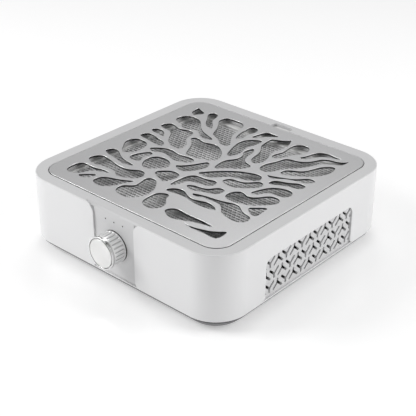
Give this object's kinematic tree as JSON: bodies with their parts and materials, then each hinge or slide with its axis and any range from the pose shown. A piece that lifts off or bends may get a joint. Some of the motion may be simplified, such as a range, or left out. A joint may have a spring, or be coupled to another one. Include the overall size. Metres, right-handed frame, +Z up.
{
  "type": "nail dust collector",
  "caption": "Square desktop nail dust collector: coral-cut suction grille over a pleated filter, a centrifugal fan that exhausts through both sides, and a speed knob on the front.",
  "frame": {"origin": "centre of the square body on the plane of its feet, under the flat middle of the underside", "axes": "+Z up, -Y to the front where the knob is, +X to the right seen from the front"},
  "size_m": [0.26, 0.2767, 0.08],
  "materials": {
    "shell_white": "satin white ABS, soft sheen",
    "frame_silver": "fine silver-grey paint",
    "base_grey": "moulded grey, fine texture",
    "grille_satin": "satin anodised sheet",
    "knob_turned": "turned and fluted",
    "knob_polished": "polished",
    "mark_black": "black enamel",
    "washer_black": "matte black felt",
    "filter_white": "moulded white",
    "filter_paper": "pleated paper",
    "mesh_silver": "fine expanded mesh",
    "foam_black": "closed-cell foam",
    "bay_dark": "moulded dark grey",
    "bay_grey": "moulded light grey",
    "impeller_black": "glass-filled nylon",
    "steel": "zinc plated",
    "magnet_dark": "nickel plated magnet",
    "lamination": "lacquered steel laminations",
    "copper": "enamelled copper wire",
    "board_green": "solder mask",
    "rubber_black": "moulded rubber",
    "led_white": "clear epoxy",
    "light_smoke": "smoked light pipe",
    "cast_alloy": "die cast"
  },
  "bodies": {
    "body": {"outer_shell": "shell_white", "base_tray": "base_grey", "rubber_feet": "rubber_black", "base_screws": "steel", "top_frame": "frame_silver", "pot_body": "bay_dark", "knob_washer": "washer_black", "pot_nut": "steel", "control_board": "board_green", "board_screws": "steel", "led_chips": "led_white", "indicator_lights": "light_smoke", "side_vent_left": "frame_silver", "side_vent_right": "frame_silver", "filter_bay": "bay_grey", "filter_seal": "foam_black", "inlet_deck": "bay_dark", "inlet_guard": "bay_dark", "deck_screws": "steel", "air_guides": "bay_dark", "motor_mount": "cast_alloy", "bearing_lower": "steel", "bearing_upper": "steel", "stator_core": "lamination", "stator_windings": "copper", "motor_board": "board_green", "motor_grommets": "rubber_black", "motor_screws": "steel", "power_inlet": "bay_dark", "inlet_nut": "steel", "power_lead": "rubber_black", "motor_lead": "rubber_black", "lead_clips": "filter_white"},
    "grille": {"suction_grille": "grille_satin", "grille_magnets": "magnet_dark"},
    "filter": {"filter_frame": "filter_white", "filter_paper": "filter_paper", "filter_mesh": "mesh_silver"},
    "knob": {"pot_shaft": "steel", "knob_body": "knob_turned", "knob_ring": "knob_polished", "knob_pointer": "mark_black", "knob_cap": "knob_turned"},
    "fan": {"impeller": "impeller_black", "impeller_screws": "steel", "rotor_can": "steel", "rotor_magnet": "magnet_dark", "motor_shaft": "steel"}
  },
  "joints": [
    {"name": "grille_lift", "type": "slide", "parent": "body", "child": "grille", "axis": [0, 0, 1], "range_m": [0, 0.08]},
    {"name": "filter_lift", "type": "slide", "parent": "body", "child": "filter", "axis": [0, 0, 1], "range_m": [0, 0.04]},
    {"name": "knob_turn", "type": "hinge", "parent": "body", "child": "knob", "pos_m": [0, -0.14, 0.045], "axis": [0, -1, 0], "range_deg": [-109, 171]},
    {"name": "fan_spin", "type": "hinge", "parent": "body", "child": "fan", "pos_m": [0, 0, 0.025], "axis": [0, 0, 1], "continuous": true}
  ],
  "couplings": [
    {"joint": "filter_lift", "follows": "grille_lift", "ratio": 0.5}
  ]
}
